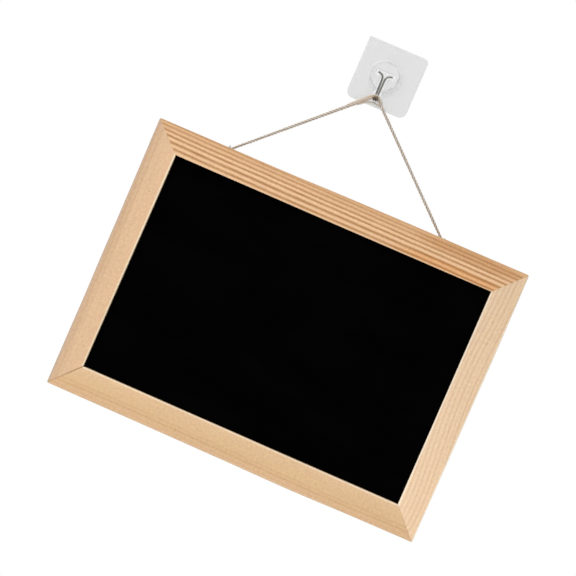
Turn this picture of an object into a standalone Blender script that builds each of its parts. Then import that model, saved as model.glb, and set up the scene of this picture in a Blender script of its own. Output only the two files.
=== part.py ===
"""Small wall chalkboard: a mitred pine frame round a black board, hung by twine from a clear stick-on hook.

Metres, +Z up. The wall is the plane y = 0 and the board faces -Y. The origin is the middle of the
hook pad's sticky face.
"""

import math

import bmesh
import bpy
from mathutils import Matrix, Vector

# Clearances
fit_gap = 0.0003  # between pieces that touch
cut_overrun = 0.002  # how far a cutter runs past the surface that it cuts

# Board frame
board_width = 0.350
board_height = 0.2535
rail_width = 0.0256
rail_depth = 0.013
corner_radius = 0.0014
outer_arris = 0.0009
inner_arris = 0.0012
rebate_width = 0.006
rebate_depth = 0.0078

# The board's place below the hook
board_drop = 0.11015  # from the boss's middle down to the board's top edge
board_shift = 0.0095  # from the boss's middle to the board's middle
eye_left_reach = 0.1102  # from the board's middle to the left screw eye
eye_right_reach = 0.0952
eye_below_top = 0.003

# Writing board, and the flat points that hold it
panel_thickness = 0.003
panel_clearance = 0.0005
point_length = 0.012
point_bite = 0.0058
point_width = 0.008
point_tip = 0.003
point_thickness = 0.0005
rail_point_shares = (-0.34, 0, 0.34)
stile_point_shares = (-0.24, 0.24)

# Corner staples
staple_crown = 0.010
staple_wire = 0.0012
staple_thickness = 0.0009
staple_leg = 0.008
staple_places = (0.009, 0.0185)  # from the outer corner, along the mitre

# Screw eyes
eye_wire_radius = 0.0009
eye_ring_radius = 0.0034  # to the middle of the wire
eye_shank_length = 0.0088
eye_point_length = 0.0016
eye_thread_pitch = 0.0008
eye_thread_root_share = 0.74
eye_point_share = 0.2
eye_neck_angle = math.radians(25)
eye_end_angle = math.radians(325)

# Stick-on pad and its boss
film_thickness = 0.0004
film_inset = 0.0005
pad_size = 0.0565
pad_thickness = 0.0015
pad_top_left_radius = 0.0012
pad_top_right_radius = 0.0045
pad_bottom_right_radius = 0.0070
pad_bottom_left_radius = 0.0065
boss_shift = -0.0022  # from the pad's middle to the boss's middle
boss_flange_radius = 0.0152
boss_flange_thickness = 0.0009
boss_radius = 0.0122
boss_lobe_height = 0.0009
boss_edge_round = 0.0011
boss_floor = 0.0016
boss_cover = 0.0014  # over the bore
bore_clearance = 0.00025
bore_end_clearance = 0.0005
pivot_rise = 0.0015  # above the boss's middle

# Wire of the hook
hook_wire_radius = 0.00085
hook_wire_spread = 0.0011  # from the middle plane to each leg's middle
hook_pin_length = 0.0038
hook_bend_radius = 0.0019
hook_leg_length = 0.0207  # from the pivot to where the hook starts to curl
hook_curl_radius = 0.0037
hook_curl_angle = math.radians(135)
hook_tip_length = 0.0003

# Twine
cord_radius = 0.00115
cord_bend_radius = 0.0046  # of the twine's middle where it goes over the hook
cord_step = 0.0052
strand_radius = 0.0008
strand_left_length = 0.0125  # from its top to its left end
strand_right_length = 0.0075
strand_end_shares = (0.55, 0.85)
knot_radius = 0.0027
tail_radius = 0.0010
tail_length = 0.007

# The route of the twine, from its left knot over the hook to its right knot
cord_route = (
    (-0.10458, -0.00453, -0.11472),
    (-0.10290, -0.00460, -0.11315),
    (-0.09314, -0.00504, -0.10399),
    (-0.06876, -0.00612, -0.08110),
    (-0.05412, -0.00677, -0.06736),
    (-0.03949, -0.00743, -0.05362),
    (-0.02486, -0.00808, -0.03988),
    (-0.01169, -0.00867, -0.02752),
    (-0.00828, -0.00882, -0.02431),
    (-0.00535, -0.00895, -0.02157),
    (-0.00442, -0.00895, -0.02089),
    (-0.00334, -0.00895, -0.02046),
    (-0.00220, -0.00895, -0.02032),
    (-0.00109, -0.00895, -0.02046),
    (-0.00004, -0.00895, -0.02086),
    (0.00088, -0.00895, -0.02150),
    (0.00393, -0.00882, -0.02425),
    (0.00901, -0.00860, -0.02884),
    (0.02120, -0.00808, -0.03983),
    (0.03645, -0.00743, -0.05358),
    (0.05169, -0.00677, -0.06733),
    (0.06693, -0.00612, -0.08107),
    (0.09234, -0.00504, -0.10399),
    (0.10250, -0.00460, -0.11315),
    (0.10421, -0.00453, -0.11469),
)

# How finely round shapes are cut
arris_segments = 3
corner_segments = 4
pad_corner_segments = 6
ring_segments = 26
neck_segments = 5
lobes = 8
points_per_lobe = 8
bore_sides = 20
bend_segments = 5
curl_segments = 12
turn_segments = 5
knot_segments = 9
tail_segments = 4
wire_bevel_resolution = 3
cord_bevel_resolution = 2
smooth_below = math.radians(35)

# Places worked out from the sizes above
half_width = board_width / 2
half_height = board_height / 2
eye_outer_radius = eye_ring_radius + eye_wire_radius
eye_y = -(fit_gap + eye_outer_radius)
back_y = eye_y - eye_outer_radius - fit_gap
front_y = back_y - rail_depth
panel_front_y = back_y - rebate_depth + fit_gap
panel_back_y = panel_front_y + panel_thickness
point_y = panel_back_y + fit_gap
board_x = boss_shift + board_shift
board_top = -board_drop
board_z = board_top - half_height
eye_z = board_top - eye_below_top
eye_left_x = board_x - eye_left_reach
eye_right_x = board_x + eye_right_reach
pad_back_y = -(film_thickness + fit_gap)
pad_front_y = pad_back_y - pad_thickness
boss_back_y = pad_front_y - fit_gap
slot_floor_y = boss_back_y - boss_floor
pivot_y = slot_floor_y - fit_gap - hook_wire_radius
boss_front_y = pivot_y - hook_wire_radius - bore_clearance - boss_cover
hook_bend_reach = hook_wire_spread + hook_bend_radius
pin_reach = hook_bend_reach + hook_pin_length
curl_bottom_z = pivot_rise - hook_leg_length - hook_curl_radius
cord_seat_radius = cord_bend_radius - cord_radius - fit_gap - hook_wire_radius
swing_y = pivot_y - hook_curl_radius
swing_z = curl_bottom_z - math.sqrt(cord_seat_radius**2 - hook_wire_spread**2)


def clear_scene():
    for old in list(bpy.data.objects):
        bpy.data.objects.remove(old, do_unlink=True)


def plain_material(name, color, roughness, metallic=0, alpha=1):
    material = bpy.data.materials.new(name)
    material.use_nodes = True
    shader = material.node_tree.nodes["Principled BSDF"]
    shader.inputs["Base Color"].default_value = (*color, 1)
    shader.inputs["Roughness"].default_value = roughness
    shader.inputs["Metallic"].default_value = metallic
    shader.inputs["Alpha"].default_value = alpha
    return material


def joint_empty(name, place):
    """The empty on a joint's axis that carries the pieces of a moving body."""
    empty = bpy.data.objects.new(name, None)
    empty.location = place
    bpy.context.scene.collection.objects.link(empty)
    return empty


def hold(thing, empty):
    """Makes an empty carry a piece, and leaves the piece where it is."""
    thing.parent = empty
    thing.matrix_parent_inverse = Matrix.Translation(-empty.location)


def add_piece(name, data, place, turn=0, carrier=None):
    """Puts a mesh or a curve at its place, turned about the wall's normal."""
    piece = bpy.data.objects.new(name, data)
    piece.location = place
    piece.rotation_euler.y = turn
    bpy.context.scene.collection.objects.link(piece)
    if carrier:
        hold(piece, carrier)
    return piece


def add_cutter(name, mesh, place, turn=0):
    cutter = add_piece(name, mesh, place, turn)
    cutter.hide_render = True
    cutter.display_type = "WIRE"
    return cutter


def cut(piece, cutter, operation="DIFFERENCE"):
    modifier = piece.modifiers.new(cutter.name, "BOOLEAN")
    modifier.operation = operation
    modifier.solver = "EXACT"
    modifier.object = cutter


def finish_mesh(bm, name, material=None, smooth=False):
    bmesh.ops.recalc_face_normals(bm, faces=bm.faces)
    mesh = bpy.data.meshes.new(name)
    bm.to_mesh(mesh)
    bm.free()
    if smooth:
        mesh.shade_smooth()
        mesh.set_sharp_from_angle(angle=smooth_below)
    if material:
        mesh.materials.append(material)
    return mesh


def extruded(outline, travel):
    """A solid made by moving a flat outline along a straight line."""
    bm = bmesh.new()
    face = bm.faces.new([bm.verts.new(point) for point in outline])
    grown = bmesh.ops.extrude_face_region(bm, geom=[face])["geom"]
    moved = [item for item in grown if isinstance(item, bmesh.types.BMVert)]
    bmesh.ops.translate(bm, vec=travel, verts=moved)
    return bm


def box(width, depth, height):
    bm = bmesh.new()
    bmesh.ops.create_cube(bm, size=1)
    bmesh.ops.scale(bm, vec=(width, depth, height), verts=bm.verts)
    return bm


def arc(first, last, count):
    """Cosine and sine at evenly spaced angles, with both ends."""
    angles = [first + (last - first) * step / count for step in range(count + 1)]
    return [(math.cos(angle), math.sin(angle)) for angle in angles]


def tube(name, points, radius, resolution, material, shares=None):
    """A round wire or twine along a list of points, with closed ends."""
    curve = bpy.data.curves.new(name, "CURVE")
    curve.dimensions = "3D"
    curve.bevel_depth = radius
    curve.bevel_resolution = resolution
    curve.use_fill_caps = True
    spline = curve.splines.new("POLY")
    spline.points.add(len(points) - 1)
    for index, point in enumerate(points):
        spline.points[index].co = (*point, 1)
        spline.points[index].radius = shares[index] if shares else 1
    spline.use_smooth = True
    curve.materials.append(material)
    return curve


def frame_blank():
    """The outside of the whole frame as one block, with its corners and outer edges eased."""
    bm = box(board_width, rail_depth, board_height)
    upright = [edge for edge in bm.edges if edge.verts[0].co.y != edge.verts[1].co.y]
    bmesh.ops.bevel(
        bm, geom=upright, offset=corner_radius, segments=corner_segments, profile=0.5, affect="EDGES"
    )
    most_corners = max(len(face.verts) for face in bm.faces)
    rims = {edge for face in bm.faces if len(face.verts) == most_corners for edge in face.edges}
    bmesh.ops.bevel(
        bm, geom=list(rims), offset=outer_arris, segments=arris_segments, profile=0.5, affect="EDGES"
    )
    middle = (board_x, back_y - rail_depth / 2, board_z)
    return add_cutter("frame_blank", finish_mesh(bm, "frame_blank"), middle)


def rail_section():
    """A rail's section: how far in from its outer edge, and how far back from its front."""
    edge = rail_width - inner_arris
    lip = rail_depth - rebate_depth
    floor = rail_width - rebate_width
    behind = rail_depth + cut_overrun
    section = [(-cut_overrun, behind), (-cut_overrun, -cut_overrun), (edge, -cut_overrun)]
    for cosine, sine in arc(0, math.pi / 2, arris_segments):
        section.append((edge + inner_arris * sine, inner_arris - inner_arris * cosine))
    return section + [(rail_width, lip), (floor, lip), (floor, behind)]


def frame_rail(name, half_length, place, turn, blank, material, carrier):
    """One side of the frame with its mitred ends. Its own +Z points away from the board."""
    bm = extruded([(-1, back, -across) for across, back in rail_section()], (2, 0, 0))
    mitre_gap = fit_gap / math.sqrt(2)
    for vert in bm.verts:
        vert.co.x *= half_length - mitre_gap + vert.co.z
    rail = add_piece(name, finish_mesh(bm, name, material), place, turn, carrier)
    cut(rail, blank, "INTERSECT")
    return rail


def staple_mesh(name, grow, material=None):
    """A U-shaped staple, or with grow the slot that it sits in. Its legs point to the board's front."""
    half = staple_crown / 2 + grow
    inside = staple_crown / 2 - staple_wire - grow
    top = cut_overrun if grow else 0
    under = -(staple_wire + grow)
    end = -(staple_leg + grow)
    outline = (
        (-half, top),
        (half, top),
        (half, end),
        (inside, end),
        (inside, under),
        (-inside, under),
        (-inside, end),
        (-half, end),
    )
    depth = staple_thickness + grow + grow
    bm = extruded([(x, y, -depth / 2) for x, y in outline], (0, 0, depth))
    return finish_mesh(bm, name, material)


def corner_staples(corner_rails, material, carrier):
    """Two staples across each mitre, sunk into the back of the two rails that meet there."""
    staple = staple_mesh("corner_staple", 0, material)
    slot = staple_mesh("staple_slot", fit_gap)
    for corner_name, (side, rise, rails) in corner_rails.items():
        mitre = Vector((side, 0, rise)).normalized()
        corner = Vector((board_x + side * half_width, back_y, board_z + rise * half_height))
        turn = math.atan2(side, rise)
        for number, reach in enumerate(staple_places, 1):
            place = corner - mitre * reach
            name = f"corner_staple_{corner_name}_{number}"
            add_piece(name, staple, place, turn, carrier)
            cutter = add_cutter(f"slot_{corner_name}_{number}", slot, place, turn)
            for rail in rails:
                cut(rail, cutter)


def writing_panel(material, carrier):
    lost = rail_width - rebate_width + panel_clearance
    bm = box(board_width - lost - lost, panel_thickness, board_height - lost - lost)
    mesh = finish_mesh(bm, "writing_panel", material)
    middle = (board_x, panel_front_y + panel_thickness / 2, board_z)
    return add_piece("writing_panel", mesh, middle, 0, carrier)


def point_mesh(material):
    """A flat point. Its own +Z points out into the rail."""
    half = point_width / 2
    lap = point_bite - point_length
    shoulder = point_bite - point_tip
    outline = ((-half, lap), (half, lap), (half, shoulder), (0, point_bite), (-half, shoulder))
    bm = extruded([(x, 0, z) for x, z in outline], (0, point_thickness, 0))
    return finish_mesh(bm, "panel_point", material)


def point_slot_mesh():
    bm = box(
        point_width + fit_gap + fit_gap,
        point_thickness + fit_gap + fit_gap,
        point_bite + fit_gap + cut_overrun,
    )
    middle = (0, point_thickness / 2, (point_bite + fit_gap - cut_overrun) / 2)
    bmesh.ops.translate(bm, vec=middle, verts=bm.verts)
    return finish_mesh(bm, "point_slot")


def panel_points(rail_rows, material, carrier):
    """Flat points pushed into the rebate of each rail, over the back of the writing board."""
    point = point_mesh(material)
    slot = point_slot_mesh()
    for side_name, (rail, half_span, places) in rail_rows.items():
        turn = rail.rotation_euler.y
        out = Vector((math.sin(turn), 0, math.cos(turn)))
        along = Vector((abs(out.z), 0, abs(out.x)))
        wall = Vector((board_x, point_y, board_z)) + out * (half_span - rail_width + rebate_width)
        for number, reach in enumerate(places, 1):
            place = wall + along * reach
            add_piece(f"panel_point_{side_name}_{number}", point, place, turn, carrier)
            cut(rail, add_cutter(f"point_slot_{side_name}_{number}", slot, place, turn))


def eye_curve(material):
    """A screw eye's wire, about the middle of its ring: point, thread, neck and open ring."""
    neck_start = Vector((0, -eye_outer_radius, 0))
    ridge_step = eye_thread_pitch / 2
    ridges = int((eye_shank_length - eye_point_length) / ridge_step)
    points = [Vector((0, -(eye_outer_radius + fit_gap + eye_shank_length), 0))]
    shares = [eye_point_share]
    for ridge in range(ridges):
        deep = eye_shank_length - eye_point_length - ridge * ridge_step
        points.append(Vector((0, -(eye_outer_radius + fit_gap + deep), 0)))
        shares.append(eye_thread_root_share if ridge % 2 else 1)
    ring = [
        Vector((0, -eye_ring_radius * cosine, eye_ring_radius * sine))
        for cosine, sine in arc(eye_neck_angle, eye_end_angle, ring_segments)
    ]
    pull = (ring[0] - neck_start).length / 2
    first_pull = neck_start + Vector((0, pull, 0))
    second_pull = ring[0] + (ring[0] - ring[1]).normalized() * pull
    for step in range(neck_segments):
        share = step / neck_segments
        rest = 1 - share
        start_part = neck_start * rest**3 + first_pull * 3 * rest**2 * share
        points.append(start_part + second_pull * 3 * rest * share**2 + ring[0] * share**3)
        shares.append(1)
    points += ring
    shares += [1] * len(ring)
    return tube("screw_eye", points, eye_wire_radius, wire_bevel_resolution, material, shares)


def screw_eyes(rail, material, carrier):
    """The two screw eyes in the back of the top rail, and the holes for their shanks."""
    eye = eye_curve(material)
    hole_depth = eye_shank_length + fit_gap + fit_gap + cut_overrun
    for name, x in (("screw_eye_left", eye_left_x), ("screw_eye_right", eye_right_x)):
        add_piece(name, eye, (x, eye_y, eye_z), 0, carrier)
        bm = bmesh.new()
        bmesh.ops.create_cone(
            bm,
            cap_ends=True,
            segments=bore_sides,
            radius1=eye_wire_radius + fit_gap,
            radius2=eye_wire_radius + fit_gap,
            depth=hole_depth,
            matrix=Matrix.Rotation(math.pi / 2, 4, "X"),
        )
        middle = (x, back_y + cut_overrun - hole_depth / 2, eye_z)
        cut(rail, add_cutter(f"{name}_hole", finish_mesh(bm, f"{name}_hole"), middle))


def pad_outline(inset):
    """The pad from the front, anticlockwise from its top right corner. Each corner has its own radius."""
    half = pad_size / 2 - inset
    corners = (
        (1, 1, pad_top_right_radius),
        (-1, 1, pad_top_left_radius),
        (-1, -1, pad_bottom_left_radius),
        (1, -1, pad_bottom_right_radius),
    )
    outline = []
    for index, (side, rise, full_radius) in enumerate(corners):
        radius = full_radius - inset
        start = index * math.pi / 2
        for cosine, sine in arc(start, start + math.pi / 2, pad_corner_segments):
            outline.append(
                (side * (half - radius) + radius * cosine, 0, rise * (half - radius) + radius * sine)
            )
    return outline


def flat_sheet(name, inset, back, thickness, material):
    bm = extruded(pad_outline(inset), (0, -thickness, 0))
    return add_piece(name, finish_mesh(bm, name, material, smooth=True), (0, back, 0))


def boss_rings():
    """Rings of points up the boss: its round flange, its lobed body and the body's rounded front."""
    steps = lobes * points_per_lobe
    angles = [math.tau * index / steps for index in range(steps)]
    height = boss_back_y - boss_front_y
    body = [(0, boss_flange_thickness)]
    for cosine, sine in arc(0, math.pi / 2, arris_segments):
        body.append((boss_edge_round * (1 - cosine), height - boss_edge_round * (1 - sine)))
    rings = []
    for level in (0, boss_flange_thickness):
        rings.append([(boss_flange_radius, angle, level) for angle in angles])
    for inset, level in body:
        ring = []
        for angle in angles:
            lobe = boss_lobe_height * abs(math.sin(angle * lobes / 2))
            ring.append((boss_radius + lobe - inset, angle, level))
        rings.append(ring)
    return [
        [(radius * math.cos(angle), -level, radius * math.sin(angle)) for radius, angle, level in ring]
        for ring in rings
    ]


def boss_slot():
    """The opening that the hook's legs swing in, as an outline about the boss's middle."""
    wide = hook_bend_reach + bore_clearance
    narrow = hook_wire_spread + hook_wire_radius + fit_gap
    top = pivot_rise + hook_wire_radius + fit_gap
    shoulder = pivot_rise - hook_bend_radius
    bottom = -(boss_flange_radius + cut_overrun)
    half = [(narrow, bottom), (narrow, shoulder), (wide, shoulder), (wide, top)]
    outline = half + [(-x, z) for x, z in reversed(half)]
    reach = slot_floor_y - boss_front_y + cut_overrun
    bm = extruded([(x, 0, z) for x, z in outline], (0, -reach, 0))
    return add_cutter("boss_slot", finish_mesh(bm, "boss_slot"), (boss_shift, slot_floor_y, 0))


def boss_bore():
    """The bore across the boss that the hook's two pins turn in."""
    bm = bmesh.new()
    bmesh.ops.create_cone(
        bm,
        cap_ends=True,
        segments=bore_sides,
        radius1=hook_wire_radius + bore_clearance,
        radius2=hook_wire_radius + bore_clearance,
        depth=2 * (pin_reach + bore_end_clearance),
        matrix=Matrix.Rotation(math.pi / 2, 4, "Y"),
    )
    return add_cutter("boss_bore", finish_mesh(bm, "boss_bore"), (boss_shift, pivot_y, pivot_rise))


def hook_boss(material):
    bm = bmesh.new()
    rings = [[bm.verts.new(point) for point in ring] for ring in boss_rings()]
    bm.faces.new(rings[0])
    bm.faces.new(rings[-1])
    for lower, upper in zip(rings, rings[1:]):
        for index, corner in enumerate(lower):
            after = (index + 1) % len(lower)
            bm.faces.new((corner, lower[after], upper[after], upper[index]))
    mesh = finish_mesh(bm, "hook_boss", material, smooth=True)
    boss = add_piece("hook_boss", mesh, (boss_shift, boss_back_y, 0))
    cut(boss, boss_slot())
    cut(boss, boss_bore())
    return boss


def hook_half(side):
    """Half of the hook's wire about the pivot, from a pin's end to the middle of the tip's turn."""
    points = [Vector((side * pin_reach, 0, 0))]
    for cosine, sine in arc(0, math.pi / 2, bend_segments):
        across = hook_bend_reach - hook_bend_radius * sine
        points.append(Vector((side * across, 0, -hook_bend_radius * (1 - cosine))))
    x = side * hook_wire_spread
    for cosine, sine in arc(0, hook_curl_angle, curl_segments):
        forward = hook_curl_radius * (1 - cosine)
        points.append(Vector((x, -forward, -hook_leg_length - hook_curl_radius * sine)))
    rise = Vector((0, -math.sin(hook_curl_angle), -math.cos(hook_curl_angle)))
    tip = points[-1] + rise * hook_tip_length
    for cosine, sine in arc(0, math.pi / 2, turn_segments):
        inset = Vector((x * (1 - cosine), 0, 0))
        points.append(tip - inset + rise * hook_wire_spread * sine)
    return points


def wire_hook(material, carrier):
    points = hook_half(-1) + hook_half(1)[-2::-1]
    curve = tube("wire_hook", points, hook_wire_radius, wire_bevel_resolution, material)
    return add_piece("wire_hook", curve, carrier.location, 0, carrier)


def smooth_route(middle):
    """Points on a smooth curve through the twine's route, measured from the swing's middle."""
    route = [Vector(point) - middle for point in cord_route]
    before_all = route[0] * 2 - route[1]
    after_all = route[-1] * 2 - route[-2]
    route = [before_all, *route, after_all]
    points = []
    for before, start, end, after in zip(route, route[1:], route[2:], route[3:]):
        span = (end - start).length
        start_pull = (end - before) * span / (span + (start - before).length)
        end_pull = (after - start) * span / (span + (after - end).length)
        steps = max(1, round(span / cord_step))
        for step in range(steps):
            share = step / steps
            from_ends = start * (2 * share**3 - 3 * share**2 + 1) + end * (3 * share**2 - 2 * share**3)
            from_pulls = start_pull * (share**3 - 2 * share**2 + share) + end_pull * (share**3 - share**2)
            points.append(from_ends + from_pulls)
    points.append(route[-2])
    return points


def hook_strand(points, material, carrier):
    """The twine's second strand, which lies on the first where it goes over the hook."""
    top = max(points, key=lambda point: point.z)
    path = []
    for before, point, after in zip(points, points[1:], points[2:]):
        reach = strand_left_length if point.x < top.x else strand_right_length
        if (point - top).length < reach:
            outward = Vector((before.z - after.z, 0, after.x - before.x)).normalized()
            path.append(point + outward * (cord_radius + fit_gap + strand_radius))
    whole = [1] * (len(path) - 2 * len(strand_end_shares))
    shares = [*strand_end_shares, *whole, *reversed(strand_end_shares)]
    curve = tube("hook_strand", path, strand_radius, cord_bevel_resolution, material, shares)
    return add_piece("hook_strand", curve, carrier.location, 0, carrier)


def stopper_knot(name, end, before, material, carrier):
    """The knot that stops the twine behind its screw eye, with its short tail hanging."""
    along = (end - before).normalized()
    down = Vector((0, 0, -1))
    start = end + along * fit_gap
    points = []
    shares = []
    tail_share = tail_radius / knot_radius
    for cosine, sine in arc(0, math.pi, knot_segments)[:-1]:
        points.append(start + along * knot_radius * (1 - cosine))
        shares.append(max(sine, tail_share))
    for step in range(1, tail_segments + 1):
        turn = step / tail_segments
        heading = (along * (1 - turn) + down * turn).normalized()
        points.append(points[-1] + heading * tail_length / tail_segments)
        shares.append(tail_share)
    curve = tube(name, points, knot_radius, wire_bevel_resolution, material, shares)
    return add_piece(name, curve, carrier.location, 0, carrier)


def build_frame(steel, carrier):
    blank = frame_blank()
    quarter = math.pi / 2
    rail_plans = {
        "top_rail": (half_width, 0, half_height, 0),
        "bottom_rail": (half_width, 0, -half_height, math.pi),
        "left_stile": (half_height, -half_width, 0, -quarter),
        "right_stile": (half_height, half_width, 0, quarter),
    }
    wood = {
        "top_rail": plain_material("top_pine", (0.76, 0.47, 0.28), 0.55),
        "bottom_rail": plain_material("bottom_pine", (0.75, 0.50, 0.29), 0.55),
        "left_stile": plain_material("left_pine", (0.74, 0.50, 0.31), 0.55),
        "right_stile": plain_material("right_pine", (0.80, 0.58, 0.39), 0.55),
    }
    rails = {}
    for name, (half_length, x, z, turn) in rail_plans.items():
        place = (board_x + x, front_y, board_z + z)
        rails[name] = frame_rail(name, half_length, place, turn, blank, wood[name], carrier)
    top = rails["top_rail"]
    bottom = rails["bottom_rail"]
    left = rails["left_stile"]
    right = rails["right_stile"]
    corner_rails = {
        "top_left": (-1, 1, (top, left)),
        "top_right": (1, 1, (top, right)),
        "bottom_left": (-1, -1, (bottom, left)),
        "bottom_right": (1, -1, (bottom, right)),
    }
    corner_staples(corner_rails, steel, carrier)
    rail_places = [share * board_width for share in rail_point_shares]
    stile_places = [share * board_height for share in stile_point_shares]
    rail_rows = {
        "top": (top, half_height, rail_places),
        "bottom": (bottom, half_height, rail_places),
        "left": (left, half_width, stile_places),
        "right": (right, half_width, stile_places),
    }
    panel_points(rail_rows, steel, carrier)
    screw_eyes(top, steel, carrier)


def build_hook(carrier):
    clear = plain_material("clear_plastic", (0.76, 0.76, 0.76), 0.15, alpha=0.6)
    sticky = plain_material("sticky_film", (0.74, 0.74, 0.74), 0.4, alpha=0.8)
    wire = plain_material("polished_wire", (0.42, 0.42, 0.41), 0.2, metallic=1)
    flat_sheet("adhesive_film", film_inset, 0, film_thickness, sticky)
    flat_sheet("hook_pad", 0, pad_back_y, pad_thickness, clear)
    hook_boss(clear)
    wire_hook(wire, carrier)


def build_twine(carrier):
    jute = plain_material("jute", (0.49, 0.41, 0.31), 0.9)
    points = smooth_route(carrier.location)
    curve = tube("hanging_cord", points, cord_radius, cord_bevel_resolution, jute)
    add_piece("hanging_cord", curve, carrier.location, 0, carrier)
    hook_strand(points, jute, carrier)
    stopper_knot("knot_left", points[0], points[1], jute, carrier)
    stopper_knot("knot_right", points[-1], points[-2], jute, carrier)


def build():
    clear_scene()
    hook_pivot = joint_empty("hook_pivot", (boss_shift, pivot_y, pivot_rise))
    cord_swing = joint_empty("cord_swing", (boss_shift, swing_y, swing_z))
    board_tilt = joint_empty("board_tilt", ((eye_left_x + eye_right_x) / 2, eye_y, eye_z))
    hold(cord_swing, hook_pivot)
    hold(board_tilt, cord_swing)
    steel = plain_material("bright_steel", (0.62, 0.62, 0.60), 0.35, metallic=1)
    black = plain_material("black_board", (0.004, 0.004, 0.004), 0.6)
    build_frame(steel, board_tilt)
    writing_panel(black, board_tilt)
    build_hook(hook_pivot)
    build_twine(cord_swing)


build()
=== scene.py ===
import random
from math import atan, copysign, cos, pi, radians, sin, sqrt, tau

import bmesh
import bpy
from mathutils import Matrix, Vector, geometry, noise


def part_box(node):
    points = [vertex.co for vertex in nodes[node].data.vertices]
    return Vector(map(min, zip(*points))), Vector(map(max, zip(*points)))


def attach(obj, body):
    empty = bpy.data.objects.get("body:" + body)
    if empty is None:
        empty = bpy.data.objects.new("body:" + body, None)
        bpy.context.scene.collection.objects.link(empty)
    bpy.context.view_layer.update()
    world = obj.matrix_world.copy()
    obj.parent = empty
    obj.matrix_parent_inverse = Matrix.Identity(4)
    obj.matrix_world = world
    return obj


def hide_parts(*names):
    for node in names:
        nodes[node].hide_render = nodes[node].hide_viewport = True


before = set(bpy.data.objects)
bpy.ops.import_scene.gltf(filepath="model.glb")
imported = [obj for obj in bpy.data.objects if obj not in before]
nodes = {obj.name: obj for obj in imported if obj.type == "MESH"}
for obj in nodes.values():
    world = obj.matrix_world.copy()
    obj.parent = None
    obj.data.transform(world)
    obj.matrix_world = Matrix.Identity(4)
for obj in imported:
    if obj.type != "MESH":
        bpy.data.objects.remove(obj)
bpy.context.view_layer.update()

scene = bpy.context.scene
mm = 0.001
print("frame loaded")


view = {
    "lookAt": (-5.62, -22.2, -202.93),  # what lies in the middle of the picture, mm
    "fromRight": 2.47,  # degrees
    "fromAbove": 2.64,
    "roll": 23.44,
    "distance": 1497.0,
    "takesIn": 501.15,  # width of the picture at that distance, mm
}


def newObject(name, data):
    thing = bpy.data.objects.new(name, data)
    scene.collection.objects.link(thing)
    return thing


def setUpCamera():
    right, above, roll = (radians(view[key]) for key in ("fromRight", "fromAbove", "roll"))
    lens = bpy.data.cameras.new("camera")
    lens.type = "PERSP"
    lens.angle = 2 * atan(view["takesIn"] / 2 / view["distance"])
    camera = newObject("camera", lens)
    turn = Matrix.Rotation(right, 4, "Z") @ Matrix.Rotation(pi / 2 - above, 4, "X")
    turn = turn @ Matrix.Rotation(roll, 4, "Z")
    place = Vector(view["lookAt"]) + turn @ Vector((0, 0, view["distance"]))
    camera.matrix_world = Matrix.Translation(place * mm) @ turn
    scene.camera = camera


setUpCamera()
print("camera set")


def tone(color):
    # a colour as it is read off a picture, 0 to 255, as Blender's linear colour
    def linear(value):
        share = value / 255
        return share / 12.92 if share <= 0.04045 else ((share + 0.055) / 1.055) ** 2.4

    return (*map(linear, color), 1)


class Wire:
    # one output of a node, which can be used in sums
    def __init__(self, finish, socket):
        self.finish = finish
        self.socket = socket

    def calc(self, operation, *values):
        return self.finish.node("Math", {"operation": operation}, dict(enumerate(values)))

    def output(self, name):
        return Wire(self.finish, self.socket.node.outputs[name])

    def __add__(self, other):
        return self.calc("ADD", self, other)

    __radd__ = __add__

    def __sub__(self, other):
        return self.calc("SUBTRACT", self, other)

    def __rsub__(self, other):
        return self.calc("SUBTRACT", other, self)

    def __mul__(self, other):
        return self.calc("MULTIPLY", self, other)

    def __truediv__(self, other):
        return self.calc("DIVIDE", self, other)

    def __pow__(self, other):
        return self.calc("POWER", self, other)

    def __abs__(self):
        return self.calc("ABSOLUTE", self)

    def sine(self):
        return self.calc("SINE", self)


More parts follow.
